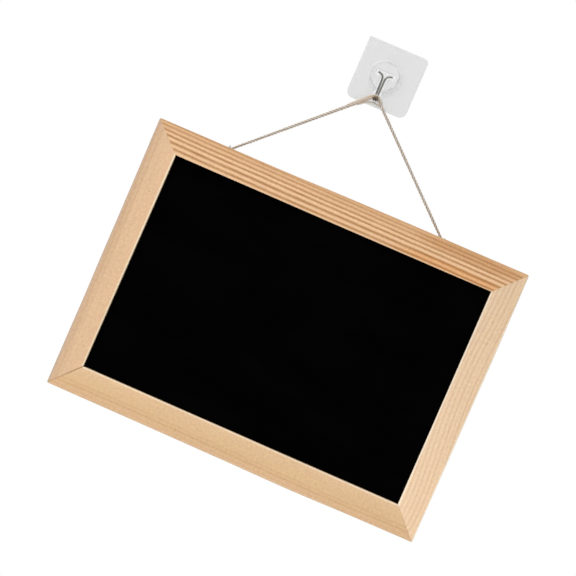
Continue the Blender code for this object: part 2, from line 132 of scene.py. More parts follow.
class Finish:
    # a material while it is being made
    def __init__(self, name, owner=None):
        self.owner = owner or bpy.data.materials.new(name)
        self.owner.use_nodes = True
        self.tree = self.owner.node_tree
        self.tree.nodes.clear()

    def node(self, kind, settings=None, values=None, output=0):
        made = self.tree.nodes.new("ShaderNode" + kind)
        for key, value in (settings or {}).items():
            setattr(made, key, value)
        for key, value in (values or {}).items():
            if isinstance(value, Wire):
                self.tree.links.new(value.socket, made.inputs[key])
            else:
                made.inputs[key].default_value = value
        return Wire(self, made.outputs[output]) if made.outputs else None

    def scaled(self, vector, by):
        return self.node("VectorMath", {"operation": "SCALE"}, {0: vector, "Scale": by})

    def place(self):
        # where a point is on the piece, in millimetres
        return self.scaled(self.node("TexCoord", output="Object"), 1 / mm)

    def parts(self, vector):
        split = self.node("SeparateXYZ", {}, {0: vector})
        return split, split.output("Y"), split.output("Z")

    def joined(self, x, y, z):
        return self.node("CombineXYZ", {}, {0: x, 1: y, 2: z})

    def grain(self, vector, scale, detail=2.0, roughness=0.5):
        values = {"Vector": vector, "Scale": scale, "Detail": detail, "Roughness": roughness}
        return self.node("TexNoise", {}, values)

    def streaks(self, vector, stretch, detail=2.0, roughness=0.5):
        # grain that is finer or coarser along each axis
        values = {0: vector, 1: stretch}
        stretched = self.node("VectorMath", {"operation": "MULTIPLY"}, values)
        return self.grain(stretched, 1, detail, roughness)

    def ease(self, value, low, high):
        # 0 at low and 1 at high, with a soft start and end
        settings = {"interpolation_type": "SMOOTHSTEP"}
        return self.node("MapRange", settings, {0: value, 1: low, 2: high})

    def mix(self, share, first, second, how="MIX"):
        settings = {"data_type": "RGBA", "blend_type": how}
        first, second = (color if isinstance(color, Wire) else tone(color) for color in (first, second))
        return self.node("Mix", settings, {0: share, 6: first, 7: second}, 2)

    def ramp(self, value, stops, span):
        # each stop is a place from 0 to the span with a colour, or with one value for a grey
        colors = self.node("ValToRGB", {}, {0: value / span})
        ramp = colors.socket.node.color_ramp
        ramp.interpolation = "EASE"
        ramp.elements.remove(ramp.elements[1])
        for index, (spot, shade) in enumerate(stops):
            stop = ramp.elements.new(spot / span) if index else ramp.elements[0]
            stop.position = spot / span
            stop.color = tone(shade) if isinstance(shade, tuple) else (shade, shade, shade, 1)
        return colors

    def bump(self, height, distance, strength=1.0):
        values = {"Height": height, "Distance": distance, "Strength": strength}
        return self.node("Bump", {}, values)

    def surface(self, color, roughness, normal, specular=0.5, **more):
        values = {"Base Color": color, "Roughness": roughness, "Normal": normal}
        values.update(more, **{"Specular IOR Level": specular})
        shader = self.node("BsdfPrincipled", {}, values)
        self.node("OutputMaterial", {}, {"Surface": shader})
        return self.owner


def squares(first, second):
    return first * first + second * second


studio = {
    "fill": 0.65,  # light of the white room on the object
    "lampPower": 22.0,
    "lampSize": 1.4,
    "lampPlace": (-0.95, -1.55, 1.05),
    "lampAim": (0.0, 0.0, -0.2),
    "paper": ((243, 243, 242), (249, 249, 248)),
    "floorMiddle": (0.0, -0.3, -0.80),
    "floorSize": (4.2, 2.3, 1.0),
}


def lightStudio():
    scene.view_settings.view_transform = "Standard"
    room = Finish("room", bpy.data.worlds.new("room"))
    scene.world = room.owner
    rays = room.node("LightPath")
    seen = rays.calc("MAXIMUM", rays.output("Is Camera Ray"), rays.output("Is Glossy Ray"))
    seen = seen.calc("MAXIMUM", seen, rays.output("Is Transmission Ray"))
    strength = seen * (1 - studio["fill"]) + studio["fill"]
    glow = room.node("Background", {}, {"Color": (1, 1, 1, 1), "Strength": strength})
    room.node("OutputWorld", {}, {"Surface": glow})

    light = bpy.data.lights.new("soft_box", "AREA")
    light.size = studio["lampSize"]
    light.energy = studio["lampPower"]
    lamp = newObject("soft_box", light)
    lamp.location = studio["lampPlace"]
    aim = Vector(studio["lampAim"]) - lamp.location
    lamp.rotation_euler = aim.to_track_quat("-Z", "Y").to_euler()


def paperFinish():
    paper = Finish("pale_floor")
    cloud = paper.grain(paper.place(), 0.004, 3)
    fibre = paper.grain(paper.place(), 0.9, 2)
    color = paper.mix(cloud, *studio["paper"])
    return paper.surface(color, 0.9, paper.bump(fibre, 0.0002, 0.3), 0.1)


def objectFrom(name, bm):
    mesh = bpy.data.meshes.new(name)
    bm.to_mesh(mesh)
    bm.free()
    return newObject(name, mesh)


def layFloor():
    bm = bmesh.new()
    place = Matrix.LocRotScale(Vector(studio["floorMiddle"]), None, Vector(studio["floorSize"]))
    bmesh.ops.create_grid(bm, x_segments=4, y_segments=4, size=0.5, matrix=place)
    floor = objectFrom("floor", bm)
    floor.data.materials.append(paperFinish())


lightStudio()
layFloor()
print("studio lit")


def framed(points):
    # each point with its heading and two side directions, carried along without twist
    ahead = [*points[1:], points[-1]]
    behind = [points[0], *points[:-1]]
    headings = [(after - before).normalized() for before, after in zip(behind, ahead)]
    side = headings[0].orthogonal().normalized()
    rows = []
    for point, heading in zip(points, headings):
        side = (side - heading * side.dot(heading)).normalized()
        rows.append((point, heading, side, heading.cross(side)))
    return rows


def turned(side, other, angle):
    # the direction at an angle between two side directions
    return side * cos(angle) + other * sin(angle)


def quarterTurn(size, steps):
    # how far in and how far short of its end a rounding is, from (0, size) to (size, 0)
    for step in range(steps + 1):
        angle = step / steps * pi / 2
        yield size * (1 - cos(angle)), size * (1 - sin(angle))


def skin(bm, rings):
    # faces over a row of rings, closed at both ends
    for lower, upper in zip(rings, rings[1:]):
        for step in range(len(lower)):
            after = (step + 1) % len(lower)
            bm.faces.new((lower[step], lower[after], upper[after], upper[step]))
    bm.faces.new(list(reversed(rings[0])))
    bm.faces.new(rings[-1])


def solid(loops):
    # a closed solid over a row of loops of places
    bm = bmesh.new()
    skin(bm, [[bm.verts.new(place) for place in loop] for loop in loops])
    bmesh.ops.recalc_face_normals(bm, faces=bm.faces)
    return bm


def addTube(bm, points, reach, sides):
    # reach(index, angle) is the tube's radius there
    rings = []
    for index, (point, heading, side, other) in enumerate(framed(points)):
        ring = []
        for step in range(sides):
            angle = tau * step / sides
            ring.append(bm.verts.new(point + turned(side, other, angle) * reach(index, angle)))
        rings.append(ring)
    skin(bm, rings)
    return rings


def placedTube(points, reach, sides, middle):
    # a tube that is drawn in mm round a place
    bm = bmesh.new()
    addTube(bm, points, reach, sides)
    for vert in bm.verts:
        vert.co = (vert.co + Vector(middle)) * mm
    return bm


def smoothLine(route, step):
    # points about a step apart on one smooth curve through the route
    route = [Vector(point) for point in route]
    route = [route[0] * 2 - route[1], *route, route[-1] * 2 - route[-2]]
    points = []
    for before, start, end, after in zip(route, route[1:], route[2:], route[3:]):
        span = (end - start).length
        startPull = (end - before) * span / (span + (start - before).length)
        endPull = (after - start) * span / (span + (after - end).length)
        handles = start, start + startPull / 3, end - endPull / 3, end
        steps = max(1, round(span / step))
        points += geometry.interpolate_bezier(*handles, steps + 1)[:-1]
    points.append(route[-2])
    return points


def travelled(points):
    # how far along the line each point is
    reached = [0.0]
    for before, point in zip(points, points[1:]):
        reached.append(reached[-1] + (point - before).length)
    return reached


def carved(body, cutter):
    # the first solid with the second taken out of it
    whole, tool = (objectFrom("blank", bm) for bm in (body, cutter))
    cut = whole.modifiers.new("cut", "BOOLEAN")
    cut.operation = "DIFFERENCE"
    cut.solver = "EXACT"
    cut.object = tool
    bpy.context.view_layer.update()
    result = bmesh.new()
    result.from_object(whole, bpy.context.evaluated_depsgraph_get())
    for thing in (whole, tool):
        bpy.data.meshes.remove(thing.data)  # and the object with it
    return result


def addPiece(name, bm, finish, body, standsFor=(), sharpFrom=38):
    bm.normal_update()
    for edge in bm.edges:
        if len(edge.link_faces) == 2 and edge.calc_face_angle(0) > radians(sharpFrom):
            edge.smooth = False
    for face in bm.faces:
        face.smooth = True
    thing = objectFrom(name, bm)
    thing.data.materials.append(finish)
    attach(thing, body)
    if standsFor:
        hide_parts(*standsFor)
    return thing


def refinish(finish, *names):
    # a better material on nodes whose shape is right
    for name in names:
        slots = nodes[name].data.materials
        for index in range(len(slots)):
            slots[index] = finish


twine = {
    # from the left knot over the hook to the right knot, as in the part's source
    "route": (
        (-0.10458, -0.00453, -0.11472), (-0.10290, -0.00460, -0.11315), (-0.09314, -0.00504, -0.10399),
        (-0.06876, -0.00612, -0.08110), (-0.05412, -0.00677, -0.06736), (-0.03949, -0.00743, -0.05362),
        (-0.02486, -0.00808, -0.03988), (-0.01169, -0.00867, -0.02752), (-0.00828, -0.00882, -0.02431),
        (-0.00535, -0.00895, -0.02157), (-0.00442, -0.00895, -0.02089), (-0.00334, -0.00895, -0.02046),
        (-0.00220, -0.00895, -0.02032), (-0.00109, -0.00895, -0.02046), (-0.00004, -0.00895, -0.02086),
        (0.00088, -0.00895, -0.02150), (0.00393, -0.00882, -0.02425), (0.00901, -0.00860, -0.02884),
        (0.02120, -0.00808, -0.03983), (0.03645, -0.00743, -0.05358), (0.05169, -0.00677, -0.06733),
        (0.06693, -0.00612, -0.08107), (0.09234, -0.00504, -0.10399), (0.10250, -0.00460, -0.11315),
        (0.10421, -0.00453, -0.11469),
    ),
    "exit": (-0.10290, -0.00460, -0.11315),  # the left screw eye
    "diameter": 0.0023,
    # its radius, from the left knot at -1 over the hook at 0 to the right knot at 1
    "girth": (
        (-1, 0.00104), (-0.4, 0.00138), (-0.14, 0.00150), (-0.05, 0.00158),
        (0, 0.00138), (0.08, 0.00132), (0.85, 0.00128), (1, 0.00108),
    ),
    "plies": 3,
    "lay": 0.0088,  # one whole turn of a ply
    "plyShare": 0.50,  # a ply's radius, of the twine's
    "step": 0.0005,
    "sides": 12,
    "ridges": 5,
    "ridgeHeight": 0.07,
    "uneven": (0.10, 700),  # how much a ply's thickness varies, and how closely
    "strayFibres": 520,
    "strayLength": (0.0010, 0.0030),
    "strayRadius": 0.000035,
    "strayRoot": 0.82,  # how deep in the twine they start, of its radius
    "strayCurl": (0.9, 2.6),
    "strayLift": 0.55,
    "strayThins": 0.18,
    "straySteps": 4,
    # the second strand, mm: up the left leg, over the hook, behind its wire and back down that leg
    "strandRoute": (
        (-23.6, -8.15, -36.9), (-18.3, -8.40, -31.6), (-14.0, -8.60, -27.4), (-10.2, -8.80, -23.7),
        (-6.6, -8.95, -20.3), (-4.5, -8.95, -18.9), (-2.2, -8.95, -18.4), (0.2, -8.95, -18.8),
        (2.2, -9.00, -20.2), (4.4, -8.60, -22.2), (5.3, -7.30, -24.3), (4.2, -6.40, -25.6),
        (1.4, -6.20, -25.6), (-2.2, -6.20, -25.2), (-5.2, -6.80, -26.1), (-8.2, -7.80, -27.4),
        (-11.2, -8.50, -29.7), (-14.9, -8.50, -33.1),
    ),
    "strandRadius": 0.00080,
    "strandFibres": 60,
    "strandPhase": 1.0,
    "bareNear": ((-2.2, -8.95, -22.9), 4.4),  # no stray fibres this close to the hook's wire, mm
    "strandTaper": (0.006, 0.25),  # it thins this far from its ends, to this share
    "knotWrapRadius": 0.00165,
    "knotWraps": 2.25,
    "knotLength": 0.0046,
    "knotStrand": 0.00088,
    "knotSides": 8,
    "knotStep": 0.0004,
    "knotFibres": 70,
    # share of the knot's length, turns round it, and radius in wrap radii: going in, and out again
    "knotStart": ((0, 0, 0), (0.35, 0, 0), (0.7, 0, 0), (1.02, 0.05, 0.55)),
    "knotWrapped": (0.98, -0.82, 0.15, 20),  # start, run, first turn, steps
    "knotEnd": ((0.10, 0.14, 1.25), (0.40, 0.30, 1.62), (0.80, 0.44, 1.45), (1.12, 0.52, 0.95)),
    "tailLength": 0.0068,
    "tailLean": 0.8,  # how far it still follows the twine where it leaves the knot
    "tailSteps": 5,
    "wallGap": 0.0002,
    "frayFibres": 26,
    "frayLength": 0.0017,
    "frayVaries": (0.5, 1.1),
    "fraySpread": 0.8,
    "frayCurl": (0.3, 1.2),
    "frayDepth": 0.0004,
    "seed": 11,
    "straw": (224, 212, 197),
    "brown": (174, 158, 144),
    "pale": (240, 233, 223),
    # painted shade for the grooves between the plies
    "grooveShade": (114, 99, 86),
    "rosy": (212, 188, 167),
    "rosyBelow": (-42, -22),  # rosy on the left leg near the hook, mm
    "rosyLeftOf": (0, -5),
    # painted shadow of the hook's tip: darker brown on the twine near it
    "hookShadow": (112, 88, 66),
    "hookShadowAt": (-1.6, -21.8),  # where the hook's tip shades it: painted shadow
    "hookShadowReach": (4.1, 1.9),
}


def juteFinish(name, paintedHighlight):
    jute = Finish(name)
    place = jute.place()
    blotch = jute.grain(place, 0.45, 3)
    fine = jute.grain(place, 4.5, 3, 0.65)
    hair = jute.streaks(place, (9, 3, 9), 2, 0.6)
    color = jute.mix(jute.ease(fine, 0.35, 0.72), twine["straw"], twine["brown"])
    color = jute.mix(jute.ease(blotch, 0.52, 0.78) * 0.75, color, twine["pale"])
    color = jute.mix(jute.ease(hair, 0.6, 0.8) * 0.5, color, twine["brown"])
    # painted shade: darker down in the grooves between the plies, by the crest attribute
    crest = jute.node("Attribute", {"attribute_name": "crest"}, output="Fac")
    color = jute.mix(jute.ease(crest, 0.92, 0.66) * 0.95, color, twine["grooveShade"])
    x, y, z = jute.parts(place)
    rosy = jute.ease(z, *twine["rosyBelow"]) * jute.ease(x, *twine["rosyLeftOf"])
    color = jute.mix(rosy * 0.55, color, twine["rosy"])
    # painted highlight: pale mixed over the whole material, for the second strand
    color = jute.mix(paintedHighlight, color, twine["pale"])
    # painted shadow: darker brown near the hook's tip
    hookX, hookZ = twine["hookShadowAt"]
    hookShadow = jute.ease(squares(x - hookX, z - hookZ) ** 0.5, *twine["hookShadowReach"])
    color = jute.mix(hookShadow * 0.75, color, twine["hookShadow"])
    return jute.surface(color, 0.85, jute.bump(fine + hair, 0.00012, 0.6), 0.2)


def addTwine(bm, points, radii, sides, phase):
    # the plies of a length of twine, laid round each other
    plies = twine["plies"]
    varies, scale = twine["uneven"]
    crest = bm.verts.layers.float["crest"]
    tracks = [[] for ply in range(plies)]
    reached = travelled(points)
    for (point, heading, side, other), radius, run in zip(framed(points), radii, reached):
        for ply, track in enumerate(tracks):
            angle = tau * (run / twine["lay"] + ply / plies) + phase
            track.append(point + turned(side, other, angle) * radius * (1 - twine["plyShare"]))
    for track in tracks:

        def reach(index, angle):
            ridge = 1 + twine["ridgeHeight"] * cos(twine["ridges"] * angle)
            uneven = 1 + varies * noise.noise(track[index] * scale)
            return radii[index] * twine["plyShare"] * ridge * uneven

        for ring, point, radius in zip(addTube(bm, track, reach, sides), points, radii):
            for vert in ring:
                vert[crest] = (vert.co - point).length / radius


def addFibre(bm, start, heading, outward, length, curl):
    radius = twine["strayRadius"]
    points = []
    for step in range(twine["straySteps"] + 1):
        share = step / twine["straySteps"]
        lift = outward * sin(share * curl) * twine["strayLift"]
        points.append(start + (heading * share + lift) * length)
    crest = bm.verts.layers.float["crest"]
    for ring in addTube(bm, points, lambda index, angle: radius * (1 - twine["strayThins"] * index), 3):
        for vert in ring:
            vert[crest] = 1


def addStrayFibres(bm, points, radii, count, draw):
    rows = framed(points)
    wire, clear = twine["bareNear"]
    for fibre in range(count):
        index = draw.randrange(2, len(points) - 2)
        point, heading, side, other = rows[index]
        outward = turned(side, other, draw.uniform(0, tau))
        way = heading * draw.choice((-1, 1))
        length = draw.uniform(*twine["strayLength"])
        start = point + outward * radii[index] * twine["strayRoot"]
        curl = draw.uniform(*twine["strayCurl"])
        if (start / mm - Vector(wire)).length > clear:
            addFibre(bm, start, way, outward, length, curl)


def addFray(bm, end, heading, draw):
    # loose fibres where the twine was cut
    side = heading.orthogonal().normalized()
    root = end - heading * twine["frayDepth"]
    for fibre in range(twine["frayFibres"]):
        outward = Matrix.Rotation(draw.uniform(0, tau), 3, heading) @ side
        start = root + outward * draw.uniform(0, twine["fraySpread"]) * twine["knotStrand"]
        length = twine["frayLength"] * draw.uniform(*twine["frayVaries"])
        addFibre(bm, start, heading, outward, length, draw.uniform(*twine["frayCurl"]))


def twineMesh(points, radii, sides, fibres, draw, phase=0.0):
    # "crest" is 1 on the twine's crests and less down in the grooves of its lay, where the jute gets
    # painted shade
    bm = bmesh.new()
    bm.verts.layers.float.new("crest")
    addTwine(bm, points, radii, sides, phase)
    addStrayFibres(bm, points, radii, fibres, draw)
    return bm


def girthAt(share):
    for (start, low), (end, high) in zip(twine["girth"], twine["girth"][1:]):
        if share <= end:
            return low + (high - low) * (share - start) / (end - start)


def hangTwine():
    finish = juteFinish("twisted_jute", 0.0)
    # the second strand's jute is painted paler, a painted highlight for the lit upper side of the left
    # leg
    pale = juteFinish("second_strand_jute_painted_highlight", 0.5)
    draw = random.Random(twine["seed"])
    points = smoothLine(twine["route"], twine["step"])
    reached = travelled(points)
    top = reached[max(range(len(points)), key=lambda index: points[index].z)]
    legs = [top if run < top else reached[-1] - top for run in reached]
    radii = [girthAt((run - top) / leg) for run, leg in zip(reached, legs)]
    bm = twineMesh(points, radii, twine["sides"], twine["strayFibres"], draw)
    main = addPiece("twine", bm, finish, "cord", ["hanging_cord"], 180)

    strand = smoothLine([Vector(point) * mm for point in twine["strandRoute"]], twine["step"])
    runs = travelled(strand)
    taper, thinnest = twine["strandTaper"]
    radii = []
    for run in runs:
        nearest = min(run, runs[-1] - run) / taper
        radii.append(twine["strandRadius"] * min(1, thinnest + nearest))
    bm = twineMesh(strand, radii, twine["sides"], twine["strandFibres"], draw, twine["strandPhase"])
    second = addPiece("twine_hook_strand", bm, pale, "cord", ["hook_strand"], 180)

    ends = (("left", points[0], points[4]), ("right", points[-1], points[-5]))
    knots = [tieKnot(*end, finish, draw) for end in ends]
    [tuple(point) for point in points[::2]] + [tuple(points[-1])]
    print("twine hung, metres:", round(reached[-1], 4))


def tieKnot(name, end, before, finish, draw):
    # through the middle, back round it in wraps, over the wraps and out as a hanging tail
    along = (end - before).normalized()
    side = along.orthogonal().normalized()
    other = along.cross(side)
    wrap = twine["knotWrapRadius"]
    length = twine["knotLength"]

    def spot(share, turn, radius):
        return end + along * share * length + turned(side, other, tau * turn) * radius * wrap

    route = [spot(*row) for row in twine["knotStart"]]
    start, run, turn, wrapSteps = twine["knotWrapped"]
    for step in range(wrapSteps + 1):
        share = step / wrapSteps
        route.append(spot(start + run * share, turn + twine["knotWraps"] * share, 1))
    turn += twine["knotWraps"]
    route += [spot(share, turn + further, radius) for share, further, radius in twine["knotEnd"]]
    down = Vector((0, 0, -1))
    for step in range(1, twine["tailSteps"] + 1):
        share = step / twine["tailSteps"]
        way = (along * (1 - share) * twine["tailLean"] + down).normalized()
        route.append(route[-1] + way * twine["tailLength"] / twine["tailSteps"])
    points = smoothLine(route, twine["knotStep"])
    radii = [twine["knotStrand"]] * len(points)
    bm = twineMesh(points, radii, twine["knotSides"], twine["knotFibres"], draw)
    addFray(bm, points[-1], (points[-1] - points[-3]).normalized(), draw)
    for vert in bm.verts:
        vert.co.y = min(vert.co.y, -twine["wallGap"])
    return addPiece(f"twine_knot_{name}", bm, finish, "cord", [f"knot_{name}"], 180)


hangTwine()


board = {
    "left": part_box("left_stile")[0].x / mm,
    "right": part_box("right_stile")[1].x / mm,
    "top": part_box("top_rail")[1].z / mm,
    "bottom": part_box("bottom_rail")[0].z / mm,
    "front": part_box("top_rail")[0].y / mm,
}
board["middleX"] = (board["left"] + board["right"]) / 2
board["middleZ"] = (board["bottom"] + board["top"]) / 2

# which way a rail's own measures run on the board: along it, and in from its outer edge
ways = {"top_rail": (1, -1), "right_stile": (-1, -1), "bottom_rail": (-1, 1), "left_stile": (1, 1)}

rail = {
    "width": 25.6,  # mm, like everything here
    "depth": 12.8,  # a little less than the solids, so that the staples stand proud
    "arris": 0.9,
    "smallArris": 0.25,
    "rebateWidth": 6.0,
    "rebateDepth": 7.6,
    "shelfStrip": 2.0,
    "cornerRadius": 1.4,
    "frontStrips": 20,
    "stationStep": 3.2,
    "endStations": (0, 0.35, 0.7, 1.05, 1.4, 2.4, 4.0),
    "ripple": 0.05,  # how far the planed faces wander
    "rippleScale": 28,
    "stillEnds": 6,  # it comes up over this far from a mitre
    "gaps": {"topLeft": 0.05, "topRight": 0.05, "bottomRight": 0.22, "bottomLeft": 0.95},
    "glueInset": 0.06,
    "glueFrom": 0.5,  # in from the outer corner
    "glueFill": 0.49,  # of the gap, to each side
    "glueSink": 0.03,
    "glue": ((156, 116, 80), (188, 148, 110)),
    "paleGlue": (206, 168, 128),
    "paleGlueFrom": (0.90, 0.96),  # toward the outer corners, of half the board's width
    "fleck": 0.40,
    "speck": 0.15,
    "lineSpan": 42.0,  # the growth lines' ramp covers this far
    "lineTilt": 0.42,
    "bandSpan": 30.0,
    "rubbedAndHighlit": (23.9, 25.0),  # pale from here to the inner edge: rubbed wear and painted highlight
    "handledAndHighlit": (1.6, 0.4),  # worn from here to the outer edge, and on the right stile painted highlight
    "arrisDepth": (2.6, 1.4),  # how deep both go
    "sawn": (12.4, 12.75),  # the back, which isn't planed
    "sawnTone": (196, 160, 122),
    "duct": (140, 96, 62),
    "mark": (96, 60, 38),
}

# Each rail by itself. Bands are its colours from the outer edge inward. Lines are its growth lines: mm
# in from the outer edge, how far each fades out before and after, and its strength. Drift is how far
# in they all move, in powers of the share along the rail. Outer and inner are how far in the worn
# edges lie from straight, at even stations.
pine = {}
pine["top_rail"] = {
    "slot": "top_pine",
    "joints": ("topLeft", "topRight"),
    "bands": ((0, (216, 172, 128)), (6, (226, 182, 139)), (12, (238, 196, 154)), (26, (238, 195, 153))),
    "paler": 0.0,  # toward its far end
    "late": (170, 120, 70),
    "lines": (
        (2.9, 1.5, 1.4, 0.54), (6.1, 1.5, 1.4, 0.66), (10.0, 1.8, 1.5, 0.84),
        (13.8, 1.8, 1.6, 0.88), (18.2, 2.0, 2.3, 0.90), (22.9, 2.0, 2.2, 0.82),
        (27.5, 1.8, 1.4, 0.74),
    ),
    "drift": (0.12, 0.59, -0.28, 0.92),
    "arris": ((244, 206, 166), 0.60),
    "handledAndHighlit": ((176, 134, 98), 0.30),
    "patches": (  # where along and across, how far along and across, and the stain
        (112, 22.3, 62, 5.2, (250, 233, 212)),
        (124, 5.6, 62, 6.0, (241, 231, 219)),
    ),
    "outer": (1.15, 1.0, 0.95, 0.15, -0.25, -0.30, -0.40),
    "inner": (0.05, 0.10, 0.10, 0.15, 0.10, 0.0, -0.25),
}
pine["right_stile"] = {
    "slot": "right_pine",
    "joints": ("topRight", "bottomRight"),
    "bands": ((0, (236, 202, 165)), (5, (238, 206, 171)), (26, (241, 210, 176))),
    "paler": 0.11,
    "arris": ((255, 240, 218), 0.85),
    # painted highlight on its outer arris, which faces away from the lamp
    "handledAndHighlit": ((255, 238, 212), 0.9),
    "late": (196, 156, 116),
    "lines": (
        (2.8, 1.6, 1.1, 0.34), (6.2, 1.6, 1.1, 0.34), (9.3, 1.2, 0.9, 0.16),
        (12.8, 1.7, 1.2, 0.34), (16.8, 1.8, 1.2, 0.30), (21.0, 1.8, 1.2, 0.30),
        (25.0, 1.8, 1.2, 0.28), (29.0, 1.8, 1.2, 0.26), (33.0, 1.8, 1.2, 0.24),
    ),
    "drift": (-0.80, -4.87, -15.48, 5.15, 12.32),
    "outer": (0.95, 0.65, 0.40, 0.55, 0.50, 0.65, 0.85),
    "inner": (-0.30, -0.35, -0.40, -0.45, -0.45, -0.40, -0.45),
}
pine["bottom_rail"] = {
    "slot": "bottom_pine",
    "joints": ("bottomRight", "bottomLeft"),
    "bands": ((0, (223, 185, 145)), (7, (223, 184, 141)), (12, (225, 188, 144)), (26, (230, 193, 152))),
    "paler": -0.01,
    "arris": ((252, 232, 204), 0.75),
    "handledAndHighlit": ((238, 212, 180), 0.3),
    "late": (188, 146, 102),
    "lines": (
        (2.8, 1.2, 1.0, 0.14), (6.8, 1.5, 1.1, 0.34), (10.0, 1.5, 1.2, 0.22),
        (27.0, 1.6, 1.2, 0.22),
    ),
    "drift": (-0.07, 1.77, 0.82, -2.47),
    "marks": ((75.4, 18.6, 0.35, 1.2, 0.3), (54.0, 7.0, 0.5, 1.4, 0.25)),
    "outer": (0.70, 0.30, -0.65, -0.35, -0.15, -0.10, -0.05),
    "inner": (0.40, 0.35, 0.15, 0.10, 0.0, 0.0, -0.05),
}
pine["left_stile"] = {
    "slot": "left_pine",
    "joints": ("bottomLeft", "topLeft"),
    "bands": ((0, (205, 176, 150)), (5, (215, 179, 144)), (11, (224, 188, 151)), (26, (228, 189, 151))),
    "paler": -0.015,
    "arris": ((255, 236, 204), 1.0),
    "handledAndHighlit": ((186, 168, 150), 0.45),
    "late": (186, 146, 110),
    "lines": (
        (4.4, 1.5, 1.1, 0.34), (8.6, 1.4, 1.1, 0.26), (14.6, 1.4, 1.2, 0.10),
        (28.0, 1.5, 1.2, 0.20),
    ),
    "drift": (0.0, -1.8),
    "fade": (-0.9, 0.3),  # its lines come up from faint between these shares
    "marks": ((63.1, 17.0, 0.45, 0.6, 0.8), (61.0, 4.6, 0.6, 0.5, 0.35)),
    "outer": (0.20, 0.40, 0.75, 0.60, 0.75, 0.65, 0.55),
    "inner": (-1.40, -1.25, -0.90, -0.45, -0.05, 0.25, 0.40),
}


def railProfile():
    # from the outer arris over the front, round the inner edge, through the rebate and along the back
    width, depth, arris, small = (rail[key] for key in ("width", "depth", "arris", "smallArris"))
    last = width - arris
    outline = list(quarterTurn(arris, 4))
    for step in range(1, rail["frontStrips"]):
        outline.append((arris + (last - arris) * step / rail["frontStrips"], 0))
    outline += [(width - short, inward) for inward, short in quarterTurn(arris, 5)]
    shelf = depth - rail["rebateDepth"]
    wall = width - rail["rebateWidth"]
    strip = wall + rail["shelfStrip"]
    outline += [(width, shelf - small), (width - small, shelf), (strip, shelf), (wall, shelf)]
    outline += [(wall, depth - small), (wall - small, depth)]
    outline += [(wall * share, depth) for share in (0.75, 0.5, 0.25)]
    outline += [(small, depth), (0, depth - small)]
    outline += [(0, arris + (depth - small - arris) * share) for share in (0.75, 0.5, 0.25)]
    return outline


def strayAt(name, edge, share):
    # how far a rail's edge strays at a share of its half length, smoothly between the stations
    values = pine[name][edge]
    last = len(values) - 1
    at = min(max((share + 1) / 2, 0), 1) * last
    index = min(int(at), last - 1)
    part = at - index
    start, end = values[index:index + 2]
    before = values[max(index - 1, 0)]
    after = values[min(index + 2, last)]
    bend = 2 * before - 5 * start + 4 * end - after + part * (3 * (start - end) + after - before)
    return start + part / 2 * (end - before + part * bend)


def strayOn(name, edge, share):
    # about how far that edge strays, in a straight line from end to end, as a wire
    values = pine[name][edge]
    return sum(values) / len(values) + share * ((values[-1] - values[0]) / 2)


def outerEdge(name):
    return board[name.split("_")[0]]


def strayBetween(value, share, names):
    # how far a place between two rails is shifted by what their edges stray
    shifts = []
    for name in names:
        turn, way = ways[name]
        for inward, edge in ((0, "outer"), (rail["width"], "inner")):
            shift = way * strayAt(name, edge, turn * share)
            shifts.append((outerEdge(name) + way * inward, shift))
    shifts.sort()
    for (first, firstShift), (last, lastShift) in zip(shifts, shifts[1:]):
        if value <= last:
            break
    return firstShift + (lastShift - firstShift) * (value - first) / (last - first)


def toBoard(name, along, across, deep):
    # from a rail's own measures to a place in the frame, in metres
    turn, way = ways[name]
    across = outerEdge(name) + way * across
    if name.endswith("rail"):
        x, z = board["middleX"] + turn * along, across
    else:
        x, z = across, board["middleZ"] + turn * along
    shareX = (x - board["middleX"]) / halfLength("top_rail")
    shareZ = (z - board["middleZ"]) / halfLength("left_stile")
    x += strayBetween(x, shareZ, ("left_stile", "right_stile"))
    z += strayBetween(z, shareX, ("bottom_rail", "top_rail"))
    return Vector((x, board["front"] + deep, z)) * mm


def halfLength(name):
    if name.endswith("rail"):
        return (board["right"] - board["left"]) / 2
    return (board["top"] - board["bottom"]) / 2


def railMesh(name):
    half = halfLength(name)
    ends = rail["endStations"]
    middles = round(2 * (half - ends[-1]) / rail["stationStep"])
    stations = [end / half - 1 for end in ends]
    first = stations[-1]
    stations += [first - 2 * first * step / middles for step in range(1, middles)]
    stations += [1 - end / half for end in reversed(ends)]
    profile = railProfile()
    gaps = [rail["gaps"][joint] * sqrt(0.5) for joint in pine[name]["joints"]]
    radius = rail["cornerRadius"]
    loops = []
    for share in stations:
        side = copysign(1, share)
        gap = gaps[share >= 0]
        loop = []
        for across, deep in profile:
            reach = half - across - gap
            fromEnd = (1 - abs(share)) * reach
            along = side * (reach - fromEnd)
            shownAcross = across
            if across + fromEnd < radius:
                angle = pi / 4 * (1 + fromEnd / (radius - across))
                along = side * (half - gap - radius + (radius - across) * cos(angle))
                shownAcross = radius - (radius - across) * sin(angle)
            spot = toBoard(name, along, shownAcross, deep)
            still = min(1, fromEnd / rail["stillEnds"])
            drift = noise.noise(spot * rail["rippleScale"]) * rail["ripple"] * still
            loop.append(spot + Vector((drift, drift, drift)) * mm)
        loops.append(loop)
    return solid(loops)


def railSpot(finish, name):
    # a rail's own measures as wires: along it, in from its outer edge and back from its front
    x, y, z = finish.parts(finish.place())
    turn, way = ways[name]
    deep = y - board["front"]
    if name.endswith("rail"):
        return (x - board["middleX"]) * turn, (z - outerEdge(name)) * way, deep
    return (z - board["middleZ"]) * turn, (x - outerEdge(name)) * way, deep


